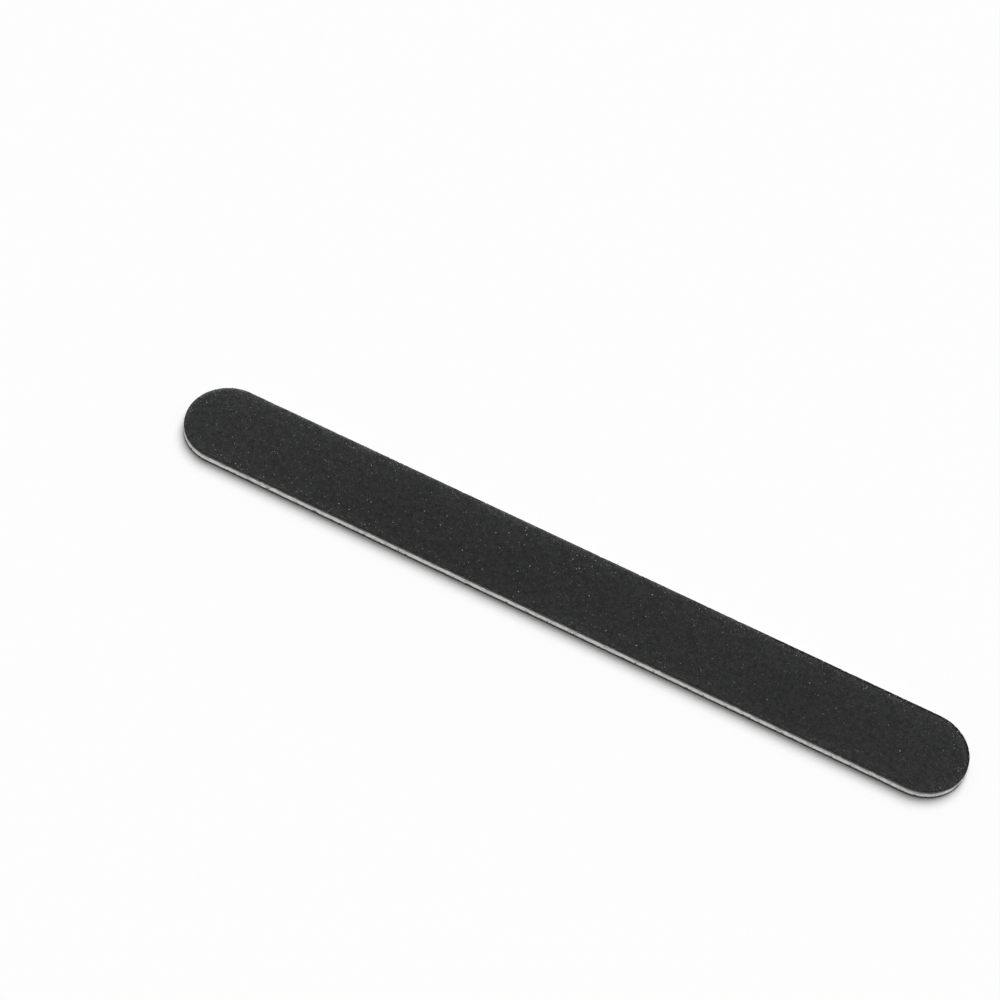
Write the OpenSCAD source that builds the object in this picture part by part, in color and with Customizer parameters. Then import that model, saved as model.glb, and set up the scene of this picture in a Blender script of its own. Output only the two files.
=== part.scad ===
// Double-sided emery board with straight sides and full-round ends.
// It lies flat with its fine face up, its length along X and its lowest face on Z = 0.
// A stiff pressed-paper core carries the same run of layers on both faces, from the core out:
// glue, backing paper, bonding resin, and the coat of abrasive grain.
// All layers are cut out together by one blade, so they share one outline. The blade presses
// the rims in as it cuts: near the edge the layers bend down together and stay face to face.

/* [Board outline] */
// Overall length, from the tip of one round end to the other
board_length = 178; // [90:1:240]
// Overall width, and so the diameter of the round ends
board_width = 19; // [12:0.5:32]

/* [Core] */
// Thickness of the pressed-paper core
core_thickness = 1.6; // [1:0.1:3]

/* [Abrasive sheets] */
// Thickness of the glue that holds each sheet to the core
glue_thickness = 0.06; // [0.04:0.01:0.1]
// Thickness of the backing paper of each sheet
paper_thickness = 0.34; // [0.2:0.02:0.5]
// Thickness of the resin that bonds the grain to the paper
bond_thickness = 0.08; // [0.05:0.01:0.12]
// Height of the grain coat on the upper face, the fine one
fine_grit_thickness = 0.12; // [0.06:0.01:0.16]
// Height of the grain coat on the lower face, the coarse one
coarse_grit_thickness = 0.18; // [0.1:0.01:0.24]

/* [Cut edge] */
// How far the edge leans in between the lower sheet and the upper face, where the blade enters
edge_lean = 0.12; // [0:0.02:0.3]
// Width of the rim strip that the blade bends down on the upper face
upper_rim_width = 0.7; // [0.3:0.05:1]
// Width of the rim strip that the cutting bed bends up on the lower face
lower_rim_width = 0.4; // [0.2:0.05:0.8]
// How much larger the core's bend radius is than the width of the upper rim strip
upper_bend_spare = 0.35; // [0.2:0.05:0.8]
// How much larger the core's bend radius is than the width of the lower rim strip
lower_bend_spare = 0.5; // [0.2:0.05:0.8]
// Width of the rim strip where the cut has knocked the grain off the resin
bare_rim_width = 0.12; // [0.04:0.02:0.24]

/* [Hidden] */
$fn = 96;

// One sheet from the core out, without its grain
sheet_thickness = glue_thickness + paper_thickness + bond_thickness;
board_thickness = core_thickness + 2 * sheet_thickness + fine_grit_thickness + coarse_grit_thickness;

// Depth below its own face at which each layer starts
upper_bond_depth = fine_grit_thickness;
upper_paper_depth = upper_bond_depth + bond_thickness;
upper_glue_depth = upper_paper_depth + paper_thickness;
upper_core_depth = upper_glue_depth + glue_thickness;
lower_bond_depth = coarse_grit_thickness;
lower_paper_depth = lower_bond_depth + bond_thickness;
lower_glue_depth = lower_paper_depth + paper_thickness;
lower_core_depth = lower_glue_depth + glue_thickness;

// The cut edge is widest beside the lower sheet, where the blade leaves it
lower_half_width = board_width / 2;
upper_half_width = lower_half_width - edge_lean;
straight_length = board_length - board_width;

// Half section of the board, from its middle line out to the cut edge. The edge stands square
// beside the lower sheet and leans in from there up. inset pulls the edge in by that much.
module cut_section(inset = 0) {
    polygon([
        [0, 0],
        [lower_half_width - inset, 0],
        [lower_half_width - inset, lower_core_depth],
        [upper_half_width - inset, board_thickness],
        [0, board_thickness]
    ]);
}

// Half section of everything deeper than depth below a face that looks up at board_thickness.
// It is flat up to the rim strip, then bends down on an arc. Every depth shares one centre, so
// the layers keep their thickness round the bend.
module below_face(depth, core_depth, rim_width, bend_spare, half_width) {
    flat_width = half_width - rim_width;
    face_radius = core_depth + rim_width + bend_spare;
    centre_height = board_thickness - face_radius;
    square([flat_width, board_thickness - depth]);
    translate([flat_width, centre_height])
        intersection() {
            circle(r = face_radius - depth);
            square(face_radius);
        }
    translate([0, -board_thickness])
        square([board_width, board_thickness + centre_height]);
}

module below_upper_face(depth) {
    below_face(depth, upper_core_depth, upper_rim_width, upper_bend_spare, upper_half_width);
}

module above_lower_face(depth) {
    translate([0, board_thickness])
        mirror([0, 1])
            below_face(depth, lower_core_depth, lower_rim_width, lower_bend_spare, lower_half_width);
}

// Half section of one layer of the upper sheet, between two depths
module upper_layer(outer_depth, inner_depth, inset = 0) {
    intersection() {
        cut_section(inset);
        difference() {
            below_upper_face(outer_depth);
            below_upper_face(inner_depth);
        }
    }
}

// Half section of one layer of the lower sheet, between two depths
module lower_layer(outer_depth, inner_depth, inset = 0) {
    intersection() {
        cut_section(inset);
        difference() {
            above_lower_face(outer_depth);
            above_lower_face(inner_depth);
        }
    }
}

// Carries a half section along the straight sides and round both ends
module along_outline() {
    rotate([90, 0, 90])
        linear_extrude(height = straight_length, center = true) {
            children();
            mirror([1, 0]) children();
        }
    for (side = [1, -1])
        translate([side * straight_length / 2, 0, 0])
            rotate([0, 0, -90 * side])
                rotate_extrude(angle = 180)
                    children();
}

module core() {
    color("gainsboro")
        along_outline()
            intersection() {
                cut_section();
                below_upper_face(upper_core_depth);
                above_lower_face(lower_core_depth);
            }
}

module upper_glue() {
    color("dimgray")
        along_outline() upper_layer(upper_glue_depth, upper_core_depth);
}

module upper_paper() {
    color("#2b2c2d")
        along_outline() upper_layer(upper_paper_depth, upper_glue_depth);
}

module upper_bond() {
    color("#1f2021")
        along_outline() upper_layer(upper_bond_depth, upper_paper_depth);
}

module fine_grit() {
    color("#343638")
        along_outline() upper_layer(0, upper_bond_depth, bare_rim_width);
}

module lower_glue() {
    color("dimgray")
        along_outline() lower_layer(lower_glue_depth, lower_core_depth);
}

module lower_paper() {
    color("#2b2c2d")
        along_outline() lower_layer(lower_paper_depth, lower_glue_depth);
}

module lower_bond() {
    color("#1f2021")
        along_outline() lower_layer(lower_bond_depth, lower_paper_depth);
}

module coarse_grit() {
    color("#303234")
        along_outline() lower_layer(0, lower_bond_depth, bare_rim_width);
}

core();
upper_glue();
upper_paper();
upper_bond();
fine_grit();
lower_glue();
lower_paper();
lower_bond();
coarse_grit();
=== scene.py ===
"""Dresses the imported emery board: its layered body, the grain on both faces, and a plain studio stage."""

import math

import bmesh
import bpy
from bpy.props import FloatProperty, FloatVectorProperty, IntProperty, PointerProperty
from mathutils import Matrix, Vector


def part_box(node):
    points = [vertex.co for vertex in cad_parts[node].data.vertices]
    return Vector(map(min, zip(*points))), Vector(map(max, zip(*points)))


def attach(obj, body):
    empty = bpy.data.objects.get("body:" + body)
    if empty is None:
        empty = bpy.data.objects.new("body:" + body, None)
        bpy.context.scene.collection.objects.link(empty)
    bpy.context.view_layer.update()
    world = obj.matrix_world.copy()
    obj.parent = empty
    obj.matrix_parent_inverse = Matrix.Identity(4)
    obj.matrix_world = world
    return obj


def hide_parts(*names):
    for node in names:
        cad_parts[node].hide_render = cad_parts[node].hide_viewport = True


bl_info = {
    "name": "Emery Board",
    "version": (1, 0, 0),
    "blender": (4, 5, 0),
    "location": "View3D > Sidebar > Emery Board",
    "description": "Builds the looks of a double-sided emery board around its packed frame",
    "category": "Object",
}

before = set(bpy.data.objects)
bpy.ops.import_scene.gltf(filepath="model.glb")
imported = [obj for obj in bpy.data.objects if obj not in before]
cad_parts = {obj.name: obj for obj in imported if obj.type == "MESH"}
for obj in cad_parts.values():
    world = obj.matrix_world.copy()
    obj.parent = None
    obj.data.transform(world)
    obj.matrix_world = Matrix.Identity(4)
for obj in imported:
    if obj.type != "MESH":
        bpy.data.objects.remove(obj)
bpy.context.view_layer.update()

MM = 0.001
BODY = "root"

# Sizes that the frame gives
CORE_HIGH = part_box("core")[1]
BOARD_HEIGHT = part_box("fine_grit")[1].z
HALF_WIDTH = CORE_HIGH.y
STRAIGHT_HALF = CORE_HIGH.x - CORE_HIGH.y

# Width of the strip along the cut edge that handling has worn, and over which painted sheen and painted
# shade fall on the black coat
WORN_AND_PAINTED_RIM_WIDTH = 2.6 * MM
# Across the board, the rubbing, painted sheen, painted shade and dust of the near rim give way to those of
# the far rim between these places
NEAR_TO = -4 * MM
FAR_FROM = 5 * MM
# Along the board, the scuffs of the far rim end between these two places, and painted shade darkens the far
# rim beyond them
SCUFFS_TO = 36 * MM
DARK_FROM = 46 * MM
# Sizes of the torn fibres at a cut edge
CORE_FRAY = 0.5 * MM
GLUE_FRAY = 0.4 * MM
PAPER_FRAY = 0.3 * MM
# Size of a bite that the cut has left
BITE_SIZE = 1.1 * MM
# How much further the lower paper is drawn over the core than the upper one
LOWER_SMEAR = 2.2
# Points of the middle line that lie closer than this are merged
SEAM = 0.03 * MM
# Least height above the floor of anything scattered
FLOOR_GAP = 0.002 * MM
# Rounds in which the swing of a bend settles on the leaning cut
SWING_ROUNDS = 6
# Square decimetres in a square metre
SQUARES = 100.0
# Lower limit, upper limit and output of a Random Value node, by the kind of value
RANDOM_SOCKETS = {"FLOAT_VECTOR": (0, 1, 0), "FLOAT": (2, 3, 1)}


def upper_depth(node):
    """How deep under the upper face the flat top of a node lies."""
    return BOARD_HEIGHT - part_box(node)[1].z


def lower_depth(node):
    """How far above the lower face the flat underside of a node lies."""
    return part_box(node)[0].z


class BoardEdge(bpy.types.PropertyGroup):
    """Sizes of the die-cut edge."""

    upper_rim: FloatProperty(
        name="Upper rim",
        description="Width of the strip that the blade bends down",
        default=0.7 * MM,
        unit="LENGTH",
    )
    lower_rim: FloatProperty(
        name="Lower rim",
        description="Width of the strip that the cutting bed bends up",
        default=0.4 * MM,
        unit="LENGTH",
    )
    upper_bend_spare: FloatProperty(
        name="Upper bend spare",
        description="How much larger the core's bend radius is than the upper rim",
        default=0.35 * MM,
        unit="LENGTH",
    )
    lower_bend_spare: FloatProperty(
        name="Lower bend spare",
        description="How much larger the core's bend radius is than the lower rim",
        default=0.5 * MM,
        unit="LENGTH",
    )
    lean: FloatProperty(
        name="Lean",
        description="How far the edge leans in towards the upper face",
        default=0.12 * MM,
        unit="LENGTH",
    )
    bare_rim: FloatProperty(
        name="Bare rim",
        description="Strip where the cut has knocked the grain off",
        default=0.07 * MM,
        unit="LENGTH",
    )
    fray: FloatProperty(
        name="Fray",
        description="How far the cut fibres wander from a clean edge",
        default=0.035 * MM,
        unit="LENGTH",
    )
    chip: FloatProperty(
        name="Chip",
        description="Depth of the small bites that the cut has left",
        default=0.09 * MM,
        unit="LENGTH",
    )
    smear: FloatProperty(
        name="Smear",
        description="How far the blade has drawn the black papers over the core",
        default=0.05 * MM,
        unit="LENGTH",
    )
    steps: IntProperty(
        name="Steps",
        description="Mesh points round the outline, a multiple of four",
        default=1600,
    )


class GrainCoat(bpy.types.PropertyGroup):
    """Sizes of the abrasive grain, of the dust on it and of the loose core fibres."""

    fine_size: FloatProperty(
        name="Fine grain",
        description="Mean size of a grain that stands out of the fine face",
        default=0.15 * MM,
        unit="LENGTH",
    )
    coarse_size: FloatProperty(
        name="Coarse grain",
        description="Mean size of a grain that stands out of the coarse face",
        default=0.23 * MM,
        unit="LENGTH",
    )
    cover: FloatProperty(
        name="Cover",
        description="Part of each face that standing grains cover",
        default=0.3,
        min=0,
        max=1,
        subtype="FACTOR",
    )
    dust_size: FloatProperty(
        name="Dust",
        description="Mean size of a pale speck",
        default=0.19 * MM,
        unit="LENGTH",
    )
    dust_count: IntProperty(
        name="Dust specks",
        description="Pale specks on each square decimetre of open face",
        default=1200,
    )
    lint_length: FloatProperty(
        name="Lint",
        description="Mean length of a stray thread of lint",
        default=0.85 * MM,
        unit="LENGTH",
    )
    lint_count: IntProperty(
        name="Lint threads",
        description="Stray threads on each square decimetre of open face",
        default=300,
    )
    fibre_length: FloatProperty(
        name="Core fibres",
        description="Mean length of a loose fibre on the cut core",
        default=0.34 * MM,
        unit="LENGTH",
    )
    fibre_count: IntProperty(
        name="Core fibre count",
        description="Loose fibres on each square decimetre of the cut core",
        default=16000,
    )
    seed: IntProperty(
        name="Seed",
        description="Start of the random draws",
        default=7,
    )


class Finishes(bpy.types.PropertyGroup):
    """Colours of the board and its stage."""

    coat: FloatVectorProperty(
        name="Grain coat",
        description="Black abrasive coat",
        subtype="COLOR",
        default=(0.0139, 0.0142, 0.0145),
    )
    core: FloatVectorProperty(
        name="Core",
        description="Pressed paper where it is cut",
        subtype="COLOR",
        default=(0.87, 0.86, 0.845),
    )
    paper: FloatVectorProperty(
        name="Backing paper",
        description="Black resin-soaked paper where it is cut",
        subtype="COLOR",
        default=(0.07, 0.067, 0.064),
    )
    glue: FloatVectorProperty(
        name="Glue",
        description="Dried glue line",
        subtype="COLOR",
        default=(0.2, 0.185, 0.165),
    )
    resin: FloatVectorProperty(
        name="Resin",
        description="Black resin that bonds the grain",
        subtype="COLOR",
        default=(0.028, 0.028, 0.028),
    )
    scuff: FloatVectorProperty(
        name="Scuff",
        description="Bonding resin where the cut has broken it",
        subtype="COLOR",
        default=(0.11, 0.11, 0.108),
    )
    floor: FloatVectorProperty(
        name="Floor",
        description="Plain pale floor",
        subtype="COLOR",
        default=(0.97, 0.97, 0.97),
    )


class Stage(bpy.types.PropertyGroup):
    """Camera, light and floor."""

    azimuth: FloatProperty(
        name="Azimuth",
        description="Camera's turn from the near side towards the right-hand end",
        default=math.radians(18.665),
        subtype="ANGLE",
    )
    elevation: FloatProperty(
        name="Elevation",
        description="Camera's height angle",
        default=math.radians(54.285),
        subtype="ANGLE",
    )
    roll: FloatProperty(
        name="Roll",
        description="Camera's turn about its own line of sight",
        default=math.radians(9.726),
        subtype="ANGLE",
    )
    distance: FloatProperty(
        name="Distance",
        description="Camera's distance from the point it looks at",
        default=0.59593,
        unit="LENGTH",
    )
    aim: FloatVectorProperty(
        name="Aim",
        description="Point that the camera looks at",
        subtype="XYZ",
        unit="LENGTH",
        default=(-21.567 * MM, 12.346 * MM, 1.43 * MM),
    )
    lens: FloatProperty(
        name="Lens",
        description="Focal length of the camera, in millimetres",
        default=102.6,
        unit="CAMERA",
    )
    sensor: FloatProperty(
        name="Sensor",
        description="Width of the camera's sensor, in millimetres",
        default=36,
        unit="CAMERA",
    )
    key_strength: FloatProperty(
        name="Key light",
        description="Strength of the broad soft key",
        default=2.26,
    )
    key_spread: FloatProperty(
        name="Key spread",
        description="Angle that the key fills in the sky, which softens its shadows",
        default=math.radians(46),
        subtype="ANGLE",
    )
    key_direction: FloatVectorProperty(
        name="Key direction",
        description="Way that the key light travels",
        subtype="XYZ",
        default=(0.0, -0.6, -1.0),
    )
    sky_strength: FloatProperty(
        name="Sky",
        description="Strength of the even white surroundings",
        default=0.4,
    )
    floor_side: FloatProperty(
        name="Floor",
        description="Side of the square floor",
        default=6,
        unit="LENGTH",
    )


def settings(name):
    """One of the four groups of settings."""
    return getattr(bpy.context.scene, name)


def add_node(tree, kind, inputs=None, **options):
    """Adds a node. inputs gives each socket, by name or number, a value or the output that it takes."""
    node = tree.nodes.new(kind)
    for option, value in options.items():
        setattr(node, option, value)
    for key, value in (inputs or {}).items():
        if isinstance(value, bpy.types.NodeSocket):
            tree.links.new(value, node.inputs[key])
        else:
            node.inputs[key].default_value = value
    return node


def maths(tree, operation, *values):
    """One step of arithmetic on numbers."""
    return add_node(tree, "ShaderNodeMath", dict(enumerate(values)), operation=operation).outputs[0]


def product(tree, *values):
    """All the values multiplied, in their order."""
    result = values[0]
    for value in values[1:]:
        result = maths(tree, "MULTIPLY", result, value)
    return result


def total(tree, *values):
    """All the values added, in their order."""
    result = values[0]
    for value in values[1:]:
        result = maths(tree, "ADD", result, value)
    return result


def one_less(tree, value):
    """What a value leaves of one."""
    return maths(tree, "SUBTRACT", 1.0, value)


def vectors(tree, operation, *values):
    """One step of arithmetic on vectors."""
    return add_node(tree, "ShaderNodeVectorMath", dict(enumerate(values)), operation=operation).outputs[0]


def scaled(tree, vector, factor):
    """A vector times a number."""
    return add_node(tree, "ShaderNodeVectorMath", {0: vector, "Scale": factor}, operation="SCALE").outputs[0]


def split(tree, vector):
    """The three parts of a vector."""
    return add_node(tree, "ShaderNodeSeparateXYZ", {0: vector}).outputs


def combined(tree, **parts):
    """A vector from its parts, X, Y and Z; one that isn't given is 0."""
    return add_node(tree, "ShaderNodeCombineXYZ", parts).outputs[0]


def remap(tree, value, from_low, from_high, to_low, to_high, smooth=False):
    """A value carried from one range to another, and held at its ends."""
    inputs = {
        "Value": value,
        "From Min": from_low,
        "From Max": from_high,
        "To Min": to_low,
        "To Max": to_high,
    }
    kind = "SMOOTHSTEP" if smooth else "LINEAR"
    return add_node(tree, "ShaderNodeMapRange", inputs, interpolation_type=kind).outputs["Result"]


# Sections of the layers, from the flat middle out to the cut edge


def cut_inset(height):
    """How far inside the board's widest outline the cut edge stands at a height."""
    start = lower_depth("core")
    rise = (height - start) / (BOARD_HEIGHT - start)
    return settings("board_edge").lean * min(max(rise, 0), 1)


def bent_face(depth, core_depth, rim, spare, rim_inset, height_at, steps, extra):
    """Points of one face of a layer along its bend, each an inset and a height. The last lies on the cut
    edge, or extra inside it. height_at turns a depth into a height, so that it serves both faces."""
    face_radius = core_depth + rim + spare
    radius = face_radius - depth
    centre_inset = rim + rim_inset
    reach = cut_inset(height_at(depth)) + extra
    for _ in range(SWING_ROUNDS):
        swing = math.asin(min((centre_inset - reach) / radius, 1))
        reach = cut_inset(height_at(face_radius - radius * math.cos(swing))) + extra
    angles = [swing * i / steps for i in range(steps + 1)]
    return [
        (centre_inset - radius * math.sin(a), height_at(face_radius - radius * math.cos(a))) for a in angles
    ]


def upper_face(depth, steps=4, extra=0):
    """The bend at a depth under the upper face, which the blade has pressed down."""
    edge = settings("board_edge")
    rim = (edge.upper_rim, edge.upper_bend_spare, edge.lean)
    return bent_face(depth, upper_depth("core"), *rim, lambda d: BOARD_HEIGHT - d, steps, extra)


def lower_face(depth, steps=4, extra=0):
    """The bend at a depth above the lower face, which the cutting bed has pressed up."""
    edge = settings("board_edge")
    rim = (edge.lower_rim, edge.lower_bend_spare, 0)
    return bent_face(depth, lower_depth("core"), *rim, lambda d: d, steps, extra)


# Name, bend and depth function of both sides of the board
SIDES = (("upper", upper_face, upper_depth), ("lower", lower_face, lower_depth))


def section_mesh(name, points):
    """A section as a line of vertices. Each point is inset, height, and how freely it frays and lifts.
    The first and last point lie on the middle line."""
    mesh = bpy.data.meshes.new(name)
    places = [(-inset, -height, 0) for inset, height, *_ in points]
    mesh.from_pydata(places, [(i, i + 1) for i in range(len(points) - 1)], [])
    marks = {
        "frays": [p[2] for p in points],
        "lifts": [p[3] for p in points],
        "edge_wear": [max(0, 1 - p[0] / WORN_AND_PAINTED_RIM_WIDTH) for p in points],
        "on_middle": [float(i in (0, len(points) - 1)) for i in range(len(points))],
    }
    for mark, values in marks.items():
        mesh.attributes.new(mark, "FLOAT", "POINT").data.foreach_set("value", values)
    return mesh


def layer_section(outer, inner, wall_rows, lip=0):
    """Section of a layer between two faces. Its cut edge has wall_rows rows of mesh, and lip is how far the
    blade has drawn it past the inner face."""
    (outer_inset, outer_height), (inner_inset, inner_height) = outer[-1], inner[-1]
    points = [(HALF_WIDTH, outer[0][1], 0, 0)]
    points += [(i, h, 0, 0) for i, h in outer[:-1]]
    for row in range(wall_rows + 1):
        share = row / wall_rows
        inset = outer_inset + (inner_inset - outer_inset) * share
        height = outer_height + (inner_height - outer_height) * share
        points.append((inset, height, 1, 0))
    if lip:
        # The drawn edge stands a little proud of the cut, and ends in a thin ragged line
        towards = math.copysign(1, inner_height - outer_height)
        proud = 0.8 * settings("board_edge").fray
        points.append((inner_inset - proud, inner_height + 0.1 * towards * lip, 1, 0))
        points.append((inner_inset - 0.5 * proud, inner_height + towards * lip, 1, 1))
        points.append((inner_inset + proud, inner_height, 1, 0))
    points += [(i, h, 0, 0) for i, h in inner[-2::-1]]
    points.append((HALF_WIDTH, inner[0][1], 0, 0))
    return points


# Geometry Nodes that sweep the layers and scatter what repeats


def new_tree(name, sockets):
    """A Geometry Nodes tree with these inputs, each a name, a kind and a default, and their outputs."""
    tree = bpy.data.node_groups.new(name, "GeometryNodeTree")
    for label, kind, default in sockets:
        socket = tree.interface.new_socket(name=label, in_out="INPUT", socket_type="NodeSocket" + kind)
        if default is not None:
            socket.default_value = default
    tree.interface.new_socket(name="Geometry", in_out="OUTPUT", socket_type="NodeSocketGeometry")
    return tree, tree.nodes.new("NodeGroupInput").outputs


def named(tree, name, kind="FLOAT"):
    """A value that the points of a mesh carry."""
    node = add_node(tree, "GeometryNodeInputNamedAttribute", {"Name": name}, data_type=kind)
    return node.outputs["Attribute"]


def store(tree, geometry, name, value, kind="FLOAT"):
    """A geometry whose points carry one more value."""
    inputs = {"Geometry": geometry, "Name": name, "Value": value}
    node = add_node(tree, "GeometryNodeStoreNamedAttribute", inputs, data_type=kind, domain="POINT")
    return node.outputs[0]


def wander(tree, place, size, seed, detail=3.0):
    """Noise from about -1 to 1 with features of a size, in metres."""
    inputs = {
        "Vector": place,
        "W": seed,
        "Scale": maths(tree, "DIVIDE", 1.0, size),
        "Detail": detail,
        "Roughness": 0.6,
    }
    noise = add_node(tree, "ShaderNodeTexNoise", inputs, noise_dimensions="4D").outputs[0]
    return remap(tree, noise, 0.28, 0.72, -1, 1)


def finish_tree(tree, geometry, material):
    """Makes instances real, sets the material and closes the tree."""
    real = add_node(tree, "GeometryNodeRealizeInstances", {0: geometry})
    shown = add_node(tree, "GeometryNodeSetMaterial", {"Geometry": real.outputs[0], "Material": material})
    add_node(tree, "NodeGroupOutput", {0: shown.outputs[0]})
    return tree


def sweep_tree():
    """Sweeps a layer's section round the board's outline, frays its cut edge and roughens its skin."""
    sockets = (
        ("Section", "Geometry", None),
        ("Straight half", "Float", 0.08),
        ("End radius", "Float", 0.01),
        ("Steps", "Int", 1600),
        ("Fray", "Float", 0.0),
        ("Fray size", "Float", GLUE_FRAY),
        ("Chip", "Float", 0.0),
        ("Lift", "Float", 0.0),
        ("Lift size", "Float", GLUE_FRAY),
        ("Seed", "Int", 0),
        ("Material", "Material", None),
    )
    tree, given = new_tree("layer_sweep", sockets)

    circle = add_node(
        tree, "GeometryNodeCurvePrimitiveCircle", {"Resolution": 4096, "Radius": given["End radius"]}
    )
    place = add_node(tree, "GeometryNodeInputPosition").outputs[0]
    x, y, _ = split(tree, place)
    apart = combined(tree, X=product(tree, maths(tree, "SIGN", x), given["Straight half"]))
    outline = add_node(tree, "GeometryNodeSetPosition", {"Geometry": circle.outputs[0], "Offset": apart})
    even = add_node(
        tree, "GeometryNodeResampleCurve", {"Curve": outline.outputs[0], "Count": given["Steps"]}
    )
    upright = add_node(tree, "GeometryNodeSetCurveNormal", {"Curve": even.outputs[0]}, mode="Z_UP")
    section = add_node(tree, "GeometryNodeMeshToCurve", {"Mesh": given["Section"]})
    swept = add_node(
        tree,
        "GeometryNodeCurveToMesh",
        {"Curve": upright.outputs[0], "Profile Curve": section.outputs[0]},
    )
    closed = add_node(
        tree,
        "GeometryNodeMergeByDistance",
        {
            "Geometry": swept.outputs[0],
            "Selection": maths(tree, "GREATER_THAN", named(tree, "on_middle"), 0.5),
            "Distance": SEAM,
        },
    )

    back = product(tree, given["Straight half"], -1.0)
    middle = add_node(tree, "ShaderNodeClamp", {0: x, 1: back, 2: given["Straight half"]}).outputs[0]
    outward = vectors(tree, "NORMALIZE", combined(tree, X=maths(tree, "SUBTRACT", x, middle), Y=y))
    flattened = vectors(tree, "MULTIPLY", place, (1.0, 1.0, 5.0))
    # Each layer's noise starts somewhere else
    seed = product(tree, given["Seed"], 3.7)
    fibres = product(tree, wander(tree, flattened, given["Fray size"], seed), given["Fray"])
    bites = remap(tree, wander(tree, place, BITE_SIZE, seed=4.2, detail=1.0), 0.45, 0.85, 0.0, 1.0, True)
    cut = maths(tree, "SUBTRACT", fibres, product(tree, bites, given["Chip"]))
    push = scaled(tree, outward, product(tree, named(tree, "frays"), cut))
    skin = product(tree, wander(tree, place, given["Lift size"], total(tree, seed, 9.1)), given["Lift"])
    rise = combined(tree, Z=product(tree, named(tree, "lifts"), skin))
    moved = add_node(
        tree,
        "GeometryNodeSetPosition",
        {"Geometry": closed.outputs[0], "Offset": vectors(tree, "ADD", push, rise)},
    )
    smooth = add_node(tree, "GeometryNodeSetShadeSmooth", {0: moved.outputs[0]})
    along = vectors(tree, "CROSS_PRODUCT", (0.0, 0.0, 1.0), outward)
    followed = store(tree, smooth.outputs[0], "along_edge", along, "FLOAT_VECTOR")
    return finish_tree(tree, followed, given["Material"])


def scatter_tree(name, build_shape):
    """Scatters one shape over the part of a mesh where a value that it carries is more than a half. Extra
    ones fall on the worn rim, above all on the far side, and towards the left-hand end.
    build_shape adds the shape's own nodes and gives its output."""
    sockets = (
        ("Base", "Geometry", None),
        ("Where", "String", "lifts"),
        ("Density", "Float", 1.0),
        ("Rim extra", "Float", 0.0),
        ("Left extra", "Float", 0.0),
        ("Size", "Float", MM),
        ("Least", "Vector", (0.6, 0.6, 0.6)),
        ("Most", "Vector", (1.4, 1.4, 1.4)),
        ("Sink", "Float", 0.0),
        ("Tilt", "Float", math.pi),
        ("Turn", "Float", math.pi),
        ("Seed", "Int", 0),
        ("Material", "Material", None),
    )
    tree, given = new_tree(name, sockets)

    def drawn(kind, low, high, step):
        """A random value between two limits; each draw has a step of its own."""
        low_socket, high_socket, result = RANDOM_SOCKETS[kind]
        inputs = {low_socket: low, high_socket: high, "Seed": total(tree, given["Seed"], float(step))}
        return add_node(tree, "FunctionNodeRandomValue", inputs, data_type=kind).outputs[result]

    inside = maths(tree, "GREATER_THAN", named(tree, given["Where"]), 0.5)
    x, y, _ = split(tree, add_node(tree, "GeometryNodeInputPosition").outputs[0])
    worn = maths(tree, "POWER", named(tree, "edge_wear"), 1.2)
    rim = product(tree, worn, given["Rim extra"], remap(tree, y, NEAR_TO, FAR_FROM, 0.28, 6.5))
    left = product(tree, remap(tree, x, 80 * MM, -30 * MM, 0.0, 1.0, True), given["Left extra"])
    crowd = total(tree, rim, left, 1.0)
    spread = add_node(
        tree,
        "GeometryNodeDistributePointsOnFaces",
        {
            "Mesh": given["Base"],
            "Selection": inside,
            "Density": product(tree, crowd, given["Density"]),
            "Seed": given["Seed"],
        },
    )
    depth = product(tree, given["Sink"], drawn("FLOAT", -1.0, 0.0, 10))
    settled = add_node(
        tree,
        "GeometryNodeSetPosition",
        {"Geometry": spread.outputs["Points"], "Offset": scaled(tree, spread.outputs["Normal"], depth)},
    )
    toned = store(tree, settled.outputs[0], "tone", drawn("FLOAT", 0.0, 1.0, 20))
    stand = add_node(
        tree, "FunctionNodeAlignRotationToVector", {"Vector": spread.outputs["Normal"]}, axis="Z"
    )
    face = add_node(
        tree,
        "FunctionNodeAlignRotationToVector",
        {"Rotation": stand.outputs[0], "Vector": named(tree, "along_edge", "FLOAT_VECTOR")},
        axis="X",
        pivot_axis="Z",
    )
    swings = {}
    for step, (axis, limit) in enumerate((("X", "Tilt"), ("Y", "Tilt"), ("Z", "Turn")), 30):
        swings[axis] = drawn("FLOAT", product(tree, given[limit], -1.0), given[limit], step)
    turned = add_node(
        tree,
        "FunctionNodeRotateRotation",
        {"Rotation": face.outputs[0], "Rotate By": combined(tree, **swings)},
        rotation_space="LOCAL",
    )
    stretch = scaled(tree, drawn("FLOAT_VECTOR", given["Least"], given["Most"], 40), given["Size"])
    placed = add_node(
        tree,
        "GeometryNodeInstanceOnPoints",
        {
            "Points": toned,
            "Instance": build_shape(tree),
            "Rotation": turned.outputs[0],
            "Scale": stretch,
        },
    )
    return finish_tree(tree, placed.outputs[0], given["Material"])


def shard(tree):
    """A broken grain: an uneven three-sided splinter about one unit across."""
    cone = add_node(
        tree,
        "GeometryNodeMeshCone",
        {"Vertices": 3, "Radius Top": 0.0, "Radius Bottom": 0.62, "Depth": 1.0},
    )
    sunk = add_node(
        tree,
        "GeometryNodeTransform",
        {"Geometry": cone.outputs["Mesh"], "Translation": (0.05, -0.04, -0.4)},
    )
    return sunk.outputs[0]


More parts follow.
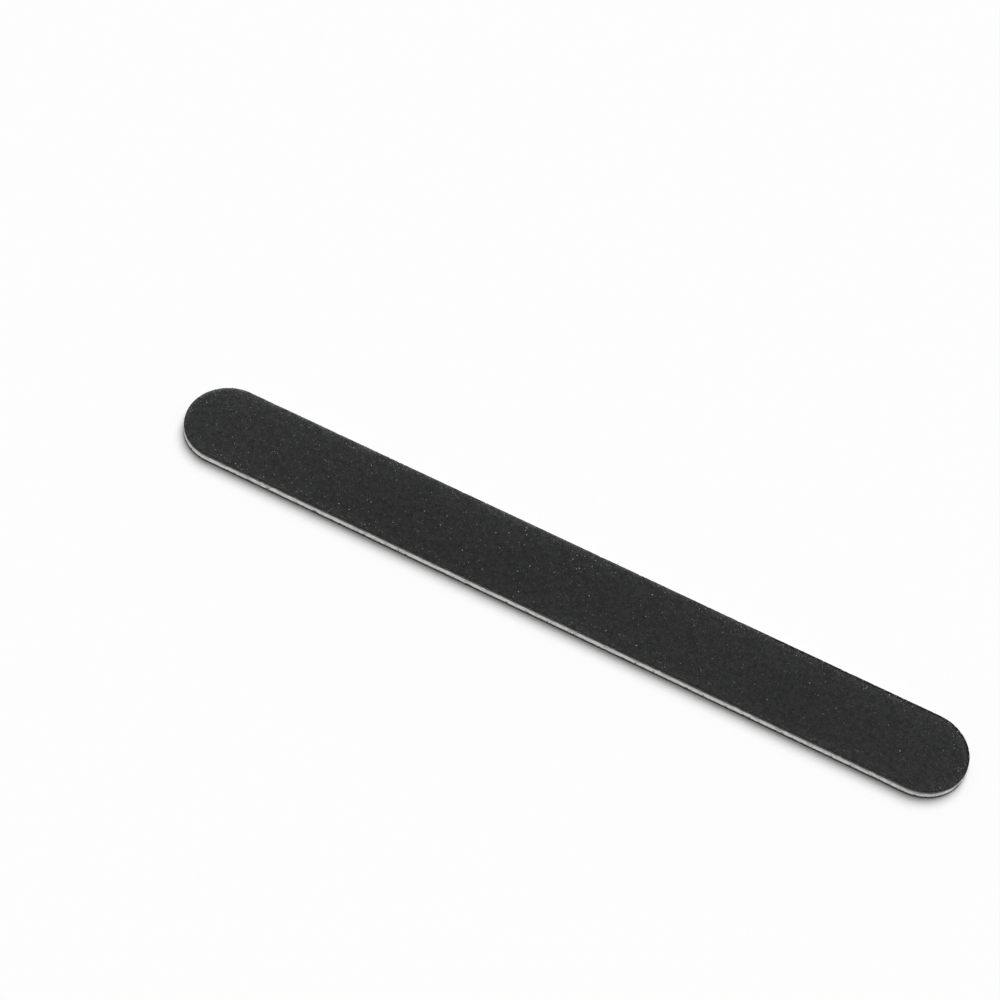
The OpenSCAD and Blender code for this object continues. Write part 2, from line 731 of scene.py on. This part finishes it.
def flake(tree):
    """A speck of dust: a small lump that lies on its widest side."""
    ball = add_node(tree, "GeometryNodeMeshIcoSphere", {"Radius": 0.5, "Subdivisions": 1})
    place = add_node(tree, "GeometryNodeInputPosition").outputs[0]
    lumps = add_node(tree, "ShaderNodeTexNoise", {"Vector": place, "Scale": 2.3})
    shift = vectors(tree, "SUBTRACT", lumps.outputs["Color"], (0.5, 0.5, 0.5))
    moved = add_node(
        tree,
        "GeometryNodeSetPosition",
        {"Geometry": ball.outputs["Mesh"], "Offset": scaled(tree, shift, 1.2)},
    )
    return moved.outputs[0]


def thread(tree):
    """A stray thread: a thin bowed strand one unit long."""
    bow = add_node(
        tree,
        "GeometryNodeCurveQuadraticBezier",
        {"Resolution": 5, "Start": (-0.5, 0, 0), "Middle": (0.05, 0.2, 0.08), "End": (0.5, -0.1, 0)},
    )
    ring = add_node(tree, "GeometryNodeCurvePrimitiveCircle", {"Resolution": 3, "Radius": 0.045})
    strand = add_node(
        tree,
        "GeometryNodeCurveToMesh",
        {"Curve": bow.outputs[0], "Profile Curve": ring.outputs[0], "Fill Caps": True},
    )
    return strand.outputs[0]


def grown(name, base, tree, **values):
    """The plain mesh that a tree makes from a base mesh. values are the tree's inputs by name."""
    host = bpy.data.objects.new(name + "_host", base)
    bpy.context.scene.collection.objects.link(host)
    modifier = host.modifiers.new("Nodes", "NODES")
    modifier.node_group = tree
    for item in tree.interface.items_tree:
        label = item.name.replace(" ", "_").lower()
        if item.in_out == "INPUT" and label in values:
            modifier[item.identifier] = values[label]
    evaluated = host.evaluated_get(bpy.context.evaluated_depsgraph_get())
    mesh = bpy.data.meshes.new_from_object(evaluated)
    host.modifiers.remove(modifier)
    bpy.data.objects.remove(host)
    mesh.name = name
    if not mesh.polygons:
        raise RuntimeError(name + " came out empty")
    return mesh


def add_piece(name, mesh, replaces=None):
    """Links a finished mesh as a piece of the board."""
    piece = bpy.data.objects.new(name, mesh)
    bpy.context.scene.collection.objects.link(piece)
    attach(piece, BODY)
    if replaces:
        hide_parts(replaces)
    return piece


def add_layer(name, points, material, node, seed, fray_size, lift=0.0, lift_size=GLUE_FRAY):
    """Sweeps one layer of the board and links it in place of its node. lift is the height of its bumps."""
    edge = settings("board_edge")
    tree = bpy.data.node_groups.get("layer_sweep") or sweep_tree()
    mesh = grown(
        name,
        section_mesh(name + "_section", points),
        tree,
        straight_half=STRAIGHT_HALF,
        end_radius=HALF_WIDTH,
        steps=edge.steps,
        fray=edge.fray,
        fray_size=fray_size,
        chip=edge.chip,
        lift=lift,
        lift_size=lift_size,
        seed=seed,
        material=material,
    )
    work = bmesh.new()
    work.from_mesh(mesh)
    bmesh.ops.recalc_face_normals(work, faces=work.faces)
    work.to_mesh(mesh)
    work.free()
    return add_piece(name, mesh, node)


def add_scatter(name, base, tree, slot, **values):
    """Scatters a shape over the piece base and links the result, which stays clear of the floor."""
    mesh = grown(name, bpy.data.objects[base].data, tree, **values)
    for vertex in mesh.vertices:
        vertex.co.z = max(vertex.co.z, FLOOR_GAP)
    return add_piece(name, mesh)


# Materials


def new_material(name, roughness, specular):
    """A material with one shader on it, and its tree and that shader."""
    material = bpy.data.materials.new(name)
    material.use_nodes = True
    tree = material.node_tree
    tree.nodes.clear()
    shader = add_node(tree, "ShaderNodeBsdfPrincipled")
    shader.inputs["Roughness"].default_value = roughness
    shader.inputs["Specular IOR Level"].default_value = specular
    add_node(tree, "ShaderNodeOutputMaterial", {"Surface": shader.outputs[0]})
    return material, tree, shader


def object_place(tree, stretch=(1, 1, 1)):
    """Object coordinates in metres. A stretch above 1 along an axis makes a pattern finer along it."""
    source = add_node(tree, "ShaderNodeTexCoord")
    return add_node(
        tree, "ShaderNodeMapping", {"Vector": source.outputs["Object"], "Scale": stretch}
    ).outputs[0]


def pattern(tree, place, size, detail=3.0, roughness=0.55):
    """Noise from 0 to 1 with features of a size, in metres."""
    inputs = {"Vector": place, "Scale": 1 / size, "Detail": detail, "Roughness": roughness}
    return add_node(tree, "ShaderNodeTexNoise", inputs).outputs[0]


def attribute(tree, name):
    """A value that the piece's mesh carries."""
    return add_node(tree, "ShaderNodeAttribute", attribute_name=name).outputs["Fac"]


def blend(tree, factor, low, high):
    """Mix of two colours. A Mix node takes colours at its inputs 6 and 7, and gives one at its output 2."""
    inputs = {0: factor, 6: (*low[:3], 1), 7: (*high[:3], 1)}
    return add_node(tree, "ShaderNodeMix", inputs, data_type="RGBA").outputs[2]


def brighten(tree, colour, factor):
    """A colour times a factor that varies over the surface."""
    value = colour if isinstance(colour, bpy.types.NodeSocket) else tuple(colour[:3])
    return scaled(tree, value, factor)


def bump(tree, shader, height, strength, distance):
    """Lets a pattern stand out of a surface by a distance, in metres."""
    node = add_node(tree, "ShaderNodeBump", {"Height": height, "Strength": strength, "Distance": distance})
    tree.links.new(node.outputs["Normal"], shader.inputs["Normal"])


def coat_wear_and_painted_light(tree, place):
    """How much lighter than its colour the black coat is, and how dull. Painted sheen lightens it at the
    left-hand end and on the far side, and it is a little lighter towards the right-hand end. It is rubbed
    along its rim, with painted sheen on the far rim and painted light on the bent near lip. The far rim is
    scuffed on the left, and painted shade darkens it at the right end."""
    rim = attribute(tree, "edge_wear")
    x, y, _ = split(tree, place)
    far = remap(tree, y, NEAR_TO, FAR_FROM, 0.0, 1.0, True)
    near = one_less(tree, far)
    strip = remap(tree, rim, 0.64, 0.74, 0.0, 1.0, True)
    lip = remap(tree, rim, 0.82, 0.9, 0.0, 1.0, True)
    patches = remap(tree, pattern(tree, place, 5 * MM, 3.0), 0.32, 0.68, 0.45, 1.45)
    gaps = remap(tree, pattern(tree, place, 1.3 * MM, 3.0), 0.4, 0.6, 0.2, 1.3)
    clouds = remap(tree, pattern(tree, place, 22 * MM, 1.0), 0.35, 0.65, 0.95, 1.07)

    # Painted sheen lightens the coat at the left-hand end and towards the far side; it is also a little
    # lighter towards the right-hand end
    left_end_painted_sheen = remap(tree, x, -40 * MM, -86 * MM, 0.0, 0.32, True)
    right_end_lightening = remap(tree, x, 45 * MM, 86 * MM, 0.0, 0.16, True)
    far_side_painted_sheen = remap(tree, y, 1 * MM, 8.5 * MM, 0.0, 0.3, True)
    # Rubbing lightens the rim on both sides; painted sheen adds to it on the far rim, and painted light
    # lightens the bent near lip
    far_rub_and_sheen = product(tree, maths(tree, "POWER", rim, 2.2), 1.5, far, patches)
    near_rub = product(tree, rim, 0.4, near, patches)
    near_lip_painted_light = product(tree, remap(tree, rim, 0.75, 0.95, 0.0, 1.1, True), near)
    scuffed = remap(tree, x, DARK_FROM, SCUFFS_TO, 0.0, 1.0, True)
    scuffs = product(tree, strip, scuffed, remap(tree, x, 10 * MM, -75 * MM, 0.9, 2.2, True), gaps, far)
    light = total(tree, clouds, left_end_painted_sheen, right_end_lightening, far_side_painted_sheen, far_rub_and_sheen, near_rub, near_lip_painted_light, scuffs)
    # Painted shade darkens the far rim beyond the scuffs, towards the right-hand end
    shaded = product(tree, strip, one_less(tree, scuffed), far, 0.9)
    return product(tree, light, one_less(tree, shaded)), product(tree, lip, far)


def coat_material(name, size):
    """The black coat between the standing grains: fine grains set in black resin."""
    material, tree, shader = new_material(name, 0.78, 0.25)
    place = object_place(tree)
    lumps = pattern(tree, place, 1.9 * size, 3.0, 0.65)
    blots = pattern(tree, place, 5.5 * size, 2.0, 0.5)
    # Lightened by rubbing, scuffs and painted sheen, and darkened on the far rim by painted shade
    light, dull = coat_wear_and_painted_light(tree, place)
    shade = product(
        tree,
        remap(tree, lumps, 0.35, 0.68, 0.45, 1.75),
        remap(tree, blots, 0.35, 0.65, 0.68, 1.36),
        light,
    )
    tree.links.new(remap(tree, dull, 0, 1, 0.25, 0), shader.inputs["Specular IOR Level"])
    tree.links.new(brighten(tree, settings("finishes").coat, shade), shader.inputs["Base Color"])
    tree.links.new(remap(tree, lumps, 0.3, 0.7, 0.88, 0.66), shader.inputs["Roughness"])
    cells = add_node(tree, "ShaderNodeTexVoronoi", {"Vector": place, "Scale": 1 / (0.7 * size)})
    height = maths(tree, "SUBTRACT", product(tree, lumps, 0.6), cells.outputs["Distance"])
    bump(tree, shader, height, 0.8, 0.3 * size)
    return material


def grain_material():
    """Broken black grains. Each has a tone of its own, and a few are much lighter."""
    material, tree, shader = new_material("black_broken_grain", 0.6, 0.3)
    place = object_place(tree)
    tone = attribute(tree, "tone")
    own = total(tree, remap(tree, tone, 0, 1, 0.5, 1.5), maths(tree, "POWER", tone, 24.0))
    blots = remap(tree, pattern(tree, place, 0.8 * MM, 2.0, 0.5), 0.35, 0.65, 0.68, 1.36)
    # Lightened by rubbing, scuffs and painted sheen, and darkened on the far rim by painted shade
    light, dull = coat_wear_and_painted_light(tree, place)
    shade = product(tree, own, blots, light)
    tree.links.new(remap(tree, dull, 0, 1, 0.3, 0), shader.inputs["Specular IOR Level"])
    tree.links.new(brighten(tree, settings("finishes").coat, shade), shader.inputs["Base Color"])
    facets = pattern(tree, place, 0.04 * MM, 2.0, 0.6)
    tree.links.new(remap(tree, facets, 0.3, 0.7, 0.45, 0.8), shader.inputs["Roughness"])
    bump(tree, shader, facets, 0.4, 0.012 * MM)
    return material


def dust_material(name, dull, pale):
    """Dust, lint or loose fibre in greys from dull to pale. Each has a tone of its own, mostly dull."""
    material, tree, shader = new_material(name, 0.85, 0.3)
    fleck = pattern(tree, object_place(tree), 0.06 * MM, 2.0, 0.6)
    shade = blend(tree, maths(tree, "POWER", attribute(tree, "tone"), 4.0), (dull,) * 3, (pale,) * 3)
    shade = brighten(tree, shade, remap(tree, fleck, 0.3, 0.7, 0.7, 1.2))
    tree.links.new(shade, shader.inputs["Base Color"])
    bump(tree, shader, fleck, 0.4, 0.01 * MM)
    return material


def core_material():
    """Pressed paper where the blade has cut it: pale fibres in thin plies. Painted shade darkens it towards
    the upper paper and at its foot, which is also nicked, and patchy stains, partly painted shade, darken it
    at the right-hand end."""
    material, tree, shader = new_material("core_cut_fibre", 0.92, 0.15)
    place = object_place(tree)
    x, _, z = split(tree, place)
    foot = lower_face(lower_depth("core"))[-1][1]
    crest = upper_face(upper_depth("core"))[-1][1]
    plies = pattern(tree, object_place(tree, (1, 1, 9)), 1.1 * MM, 4.0, 0.62)
    waves = pattern(tree, object_place(tree, (1, 1, 0.3)), 2.4 * MM, 4.0, 0.6)
    blots = pattern(tree, object_place(tree, (1, 1, 2)), 1.6 * MM, 3.0, 0.55)
    stains = pattern(tree, object_place(tree, (1, 1, 3)), 1.7 * MM, 4.0, 0.6)
    nicks = pattern(tree, object_place(tree, (1, 1, 0.5)), 0.9 * MM, 2.0, 0.5)
    specks = pattern(tree, place, 0.07 * MM, 3.0, 0.65)

    ragged = total(tree, z, remap(tree, plies, 0.3, 0.7, -0.1 * MM, 0.1 * MM))
    top = total(tree, ragged, remap(tree, waves, 0.32, 0.68, -0.26 * MM, 0.26 * MM))
    # Painted shade: the cut core darkens towards the upper paper and is a little lighter lower down
    painted_top_shade = remap(tree, top, foot + 0.45 * (crest - foot), crest, 1.1, 0.6, True)
    # Patchy stains at the right-hand end, which also stand in for the shade there: partly painted shade
    right_end_stain_and_shade_mask = remap(tree, x, 75 * MM, 84 * MM, 0, 1, True)
    stains_and_shade = product(tree, right_end_stain_and_shade_mask, remap(tree, stains, 0.38, 0.6, 0.4, 0))
    # Painted shade: the foot of the core, next to the floor, is darker
    pressed = remap(tree, ragged, foot - 0.08 * MM, foot + 0.1 * MM, 0.6, 1.0, True)
    nicked = product(
        tree,
        remap(tree, ragged, foot + 0.1 * MM, foot + 0.65 * MM, 0.9, 0, True),
        remap(tree, nicks, 0.54, 0.6, 0, 1, True),
        remap(tree, waves, 0.42, 0.58, 0, 1, True),
    )
    shade = product(
        tree,
        painted_top_shade,
        one_less(tree, stains_and_shade),
        pressed,
        one_less(tree, nicked),
        remap(tree, blots, 0.34, 0.66, 0.77, 1.17),
        remap(tree, plies, 0.3, 0.56, 0.66, 1.12),
        remap(tree, specks, 0.3, 0.7, 0.86, 1.12),
    )
    shade = maths(tree, "MINIMUM", shade, 1.06)
    tree.links.new(brighten(tree, settings("finishes").core, shade), shader.inputs["Base Color"])
    bump(tree, shader, total(tree, plies, product(tree, specks, 0.4)), 0.7, 0.03 * MM)
    return material


def paper_material():
    """Black resin-soaked paper at its cut edge, with grey fibres."""
    material, tree, shader = new_material("black_backing_paper", 0.88, 0.2)
    fibres = pattern(tree, object_place(tree, (1, 1, 5)), 0.6 * MM, 4.0, 0.65)
    fine = pattern(tree, object_place(tree), 0.08 * MM, 2.0, 0.6)
    shade = product(tree, remap(tree, fibres, 0.4, 0.72, 0.7, 3.2), remap(tree, fine, 0.3, 0.7, 0.7, 1.25))
    tree.links.new(brighten(tree, settings("finishes").paper, shade), shader.inputs["Base Color"])
    bump(tree, shader, fibres, 0.6, 0.02 * MM)
    return material


def resin_material():
    """Black bonding resin: dull on the rim, with scattered pale scuffs where the cut has broken it."""
    material, tree, shader = new_material("black_bond_resin", 0.85, 0.05)
    colours = settings("finishes")
    place = object_place(tree)
    scuffs = pattern(tree, place, 0.9 * MM, 4.0, 0.62)
    fine = pattern(tree, place, 0.09 * MM, 2.0, 0.6)
    worn = product(tree, remap(tree, scuffs, 0.56, 0.7, 0, 1), remap(tree, fine, 0.35, 0.6, 0.3, 1))
    tree.links.new(blend(tree, worn, colours.resin, colours.scuff), shader.inputs["Base Color"])
    bump(tree, shader, fine, 0.6, 0.014 * MM)
    return material


def glue_material():
    """Dried glue: an uneven amber-grey line."""
    material, tree, shader = new_material("dried_glue", 0.55, 0.3)
    runs = pattern(tree, object_place(tree, (1, 1, 4)), 0.7 * MM, 3.0, 0.6)
    shade = brighten(tree, settings("finishes").glue, remap(tree, runs, 0.35, 0.65, 0.45, 1.25))
    tree.links.new(shade, shader.inputs["Base Color"])
    bump(tree, shader, runs, 0.4, 0.01 * MM)
    return material


# Pieces


class EMERY_OT_core(bpy.types.Operator):
    """Makes the pressed-paper core with its torn, fibrous cut edge"""

    bl_idname = "emery.core"
    bl_label = "Core board"

    def execute(self, context):
        upper, lower = upper_face(upper_depth("core")), lower_face(lower_depth("core"))
        points = layer_section(upper, lower, wall_rows=14)
        add_layer("core_board", points, core_material(), "core", seed=1, fray_size=CORE_FRAY)
        return {"FINISHED"}


class EMERY_OT_glue(bpy.types.Operator):
    """Makes the two glue lines between the core and the papers"""

    bl_idname = "emery.glue"
    bl_label = "Glue lines"

    def execute(self, context):
        material = glue_material()
        for seed, (side, face, depth) in enumerate(SIDES, 2):
            node = side + "_glue"
            points = layer_section(face(depth(node)), face(depth("core")), wall_rows=1)
            add_layer(node + "_line", points, material, node, seed, GLUE_FRAY)
        return {"FINISHED"}


class EMERY_OT_papers(bpy.types.Operator):
    """Makes the two black backing papers, whose cut edges the blade has drawn a little over the core"""

    bl_idname = "emery.papers"
    bl_label = "Backing papers"

    def execute(self, context):
        material = paper_material()
        smear = settings("board_edge").smear
        for seed, (side, face, depth) in enumerate(SIDES, 4):
            node = side + "_paper"
            drawn = smear if side == "upper" else LOWER_SMEAR * smear
            points = layer_section(face(depth(node)), face(depth(side + "_glue")), wall_rows=3, lip=drawn)
            add_layer(
                side + "_backing_paper",
                points,
                material,
                node,
                seed,
                PAPER_FRAY,
                lift=0.9 * drawn,
                lift_size=0.35 * MM,
            )
        return {"FINISHED"}


class EMERY_OT_bonds(bpy.types.Operator):
    """Makes the two coats of bonding resin, whose rims show where the grain is knocked off"""

    bl_idname = "emery.bonds"
    bl_label = "Bond coats"

    def execute(self, context):
        material = resin_material()
        for seed, (side, face, depth) in enumerate(SIDES, 6):
            node = side + "_bond"
            points = layer_section(face(depth(node), steps=8), face(depth(side + "_paper")), wall_rows=1)
            add_layer(node + "_coat", points, material, node, seed, PAPER_FRAY)
        return {"FINISHED"}


def grain_sides():
    """The fine and the coarse coat: kind and mean size of the grain, the part of that size by which the bed
    lies inside the board's face, and the side that it is on."""
    grain = settings("grain_coat")
    upper, lower = SIDES
    return (("fine", grain.fine_size, 0.2, *upper), ("coarse", grain.coarse_size, 0.35, *lower))


class EMERY_OT_beds(bpy.types.Operator):
    """Makes the bumpy skin of both grain coats, out to its broken rim"""

    bl_idname = "emery.beds"
    bl_label = "Grain beds"

    def execute(self, context):
        edge = settings("board_edge")
        # The mesh is as fine across the board as it is along the outline
        step = 2 * (2 * STRAIGHT_HALF + math.pi * HALF_WIDTH) / edge.steps
        for kind, size, sunk, side, face, depth in grain_sides():
            outer = face(sunk * size, steps=5, extra=edge.bare_rim)
            inner = face(depth(side + "_bond"), steps=5, extra=edge.bare_rim)
            start, level = outer[0]
            flat = HALF_WIDTH - start
            rings = round(flat / step)
            points = [(HALF_WIDTH - flat * i / rings, level, 0, 1) for i in range(rings)]
            points += [(i, h, 0, 1) for i, h in outer[:-1]]
            points += [(*outer[-1], 1, 0.5), (*inner[-1], 1, 0), (*inner[0], 0, 0)]
            points += [(HALF_WIDTH, inner[0][1], 0, 0)]
            add_layer(
                kind + "_grain_bed",
                points,
                coat_material("black_" + kind + "_coat", size),
                kind + "_grit",
                seed=8,
                fray_size=PAPER_FRAY,
                lift=0.16 * size,
                lift_size=1.5 * size,
            )
        return {"FINISHED"}


class EMERY_OT_grains(bpy.types.Operator):
    """Scatters the broken grains that stand out of both coats"""

    bl_idname = "emery.grains"
    bl_label = "Standing grains"

    def execute(self, context):
        grain = settings("grain_coat")
        tree = scatter_tree("grain_scatter", shard)
        material = grain_material()
        for kind, size, *_ in grain_sides():
            add_scatter(
                kind + "_grains",
                kind + "_grain_bed",
                tree,
                kind + "_grain",
                density=grain.cover / size**2,
                size=size,
                sink=0.25 * size,
                seed=grain.seed,
                material=material,
            )
        return {"FINISHED"}


class EMERY_OT_dust(bpy.types.Operator):
    """Scatters pale dust and lint over both faces, and loose fibres along the cut core"""

    bl_idname = "emery.dust"
    bl_label = "Dust and fibres"

    def execute(self, context):
        grain = settings("grain_coat")
        specks = scatter_tree("dust_scatter", flake)
        threads = scatter_tree("thread_scatter", thread)
        dust = dust_material("pale_dust", dull=0.12, pale=0.5)
        lint = dust_material("grey_lint", dull=0.07, pale=0.24)
        fibre = dust_material("loose_core_fibre", dull=0.35, pale=0.75)
        for kind, *_ in grain_sides():
            add_scatter(
                kind + "_dust",
                kind + "_grain_bed",
                specks,
                kind + "_grain",
                density=SQUARES * grain.dust_count,
                rim_extra=5.0,
                left_extra=1.9,
                size=grain.dust_size,
                least=(0.45, 0.4, 0.25),
                most=(1.8, 1.2, 0.5),
                tilt=0.3,
                seed=grain.seed + 3,
                material=dust,
            )
            add_scatter(
                kind + "_lint",
                kind + "_grain_bed",
                threads,
                kind + "_grain",
                density=SQUARES * grain.lint_count,
                rim_extra=1.2,
                left_extra=1.2,
                size=grain.lint_length,
                least=(0.35, 0.7, 0.3),
                most=(1.5, 1.3, 0.6),
                tilt=0.03,
                seed=grain.seed + 5,
                material=lint,
            )
        add_scatter(
            "core_edge_fibres",
            "core_board",
            threads,
            "core_board",
            where="frays",
            density=SQUARES * grain.fibre_count,
            size=grain.fibre_length,
            least=(0.5, 0.5, 0.5),
            most=(1.5, 1.3, 1.0),
            tilt=0.5,
            turn=0.7,
            seed=grain.seed + 9,
            material=fibre,
        )
        return {"FINISHED"}


class EMERY_OT_stage(bpy.types.Operator):
    """Sets the floor, the soft light and the camera"""

    bl_idname = "emery.stage"
    bl_label = "Stage"

    def execute(self, context):
        stage = settings("stage")
        scene = context.scene
        bpy.ops.mesh.primitive_plane_add(size=stage.floor_side)
        floor = context.active_object
        floor.name = "floor"
        material, tree, shader = new_material("pale_floor", 1.0, 0.0)
        shader.inputs["Base Color"].default_value = (*settings("finishes").floor, 1)
        floor.data.materials.append(material)

        world = bpy.data.worlds.new("even_white")
        world.use_nodes = True
        sky = world.node_tree
        seen = add_node(sky, "ShaderNodeLightPath").outputs["Is Camera Ray"]
        strength = remap(sky, seen, 0, 1, stage.sky_strength, 1.0)
        background = sky.nodes["Background"]
        background.inputs["Color"].default_value = (1, 1, 1, 1)
        sky.links.new(strength, background.inputs["Strength"])
        scene.world = world

        key = bpy.data.lights.new("key", "SUN")
        key.energy = stage.key_strength
        key.angle = stage.key_spread
        lamp = bpy.data.objects.new("key", key)
        lamp.rotation_euler = Vector(stage.key_direction).to_track_quat("-Z", "Y").to_euler()
        scene.collection.objects.link(lamp)

        reach = Vector(
            (
                math.sin(stage.azimuth) * math.cos(stage.elevation),
                -math.cos(stage.azimuth) * math.cos(stage.elevation),
                math.sin(stage.elevation),
            )
        )
        lens = bpy.data.cameras.new("camera")
        lens.sensor_fit = "HORIZONTAL"
        lens.sensor_width = stage.sensor
        lens.lens = stage.lens
        lens.clip_start = 10 * MM
        camera = bpy.data.objects.new("camera", lens)
        camera.location = Vector(stage.aim) + stage.distance * reach
        level = (-reach).to_track_quat("-Z", "Y").to_matrix()
        camera.rotation_euler = (level @ Matrix.Rotation(stage.roll, 3, "Z")).to_euler()
        scene.collection.objects.link(camera)
        scene.camera = camera
        scene.view_settings.view_transform = "Standard"
        return {"FINISHED"}


class EMERY_PT_panel(bpy.types.Panel):
    """Lists the steps that make the board, and their settings"""

    bl_idname = "EMERY_PT_panel"
    bl_label = "Emery Board"
    bl_space_type = "VIEW_3D"
    bl_region_type = "UI"
    bl_category = "Emery Board"

    def draw(self, context):
        for step in STEPS:
            self.layout.operator(step.bl_idname)
        for group in GROUPS:
            box = self.layout.box()
            for name in GROUPS[group].__annotations__:
                box.prop(settings(group), name)


STEPS = (
    EMERY_OT_core,
    EMERY_OT_glue,
    EMERY_OT_papers,
    EMERY_OT_bonds,
    EMERY_OT_beds,
    EMERY_OT_grains,
    EMERY_OT_dust,
    EMERY_OT_stage,
)
GROUPS = {
    "board_edge": BoardEdge,
    "grain_coat": GrainCoat,
    "finishes": Finishes,
    "stage": Stage,
}
CLASSES = (*GROUPS.values(), *STEPS, EMERY_PT_panel)


def register():
    for item in CLASSES:
        bpy.utils.register_class(item)
    for name, group in GROUPS.items():
        setattr(bpy.types.Scene, name, PointerProperty(type=group))


def unregister():
    for name in GROUPS:
        delattr(bpy.types.Scene, name)
    for item in reversed(CLASSES):
        bpy.utils.unregister_class(item)


def main():
    register()
    bpy.ops.emery.core()
    bpy.ops.emery.glue()
    bpy.ops.emery.papers()
    bpy.ops.emery.bonds()
    bpy.ops.emery.beds()
    bpy.ops.emery.grains()
    bpy.ops.emery.dust()
    bpy.ops.emery.stage()


if __name__ == "__main__":
    main()
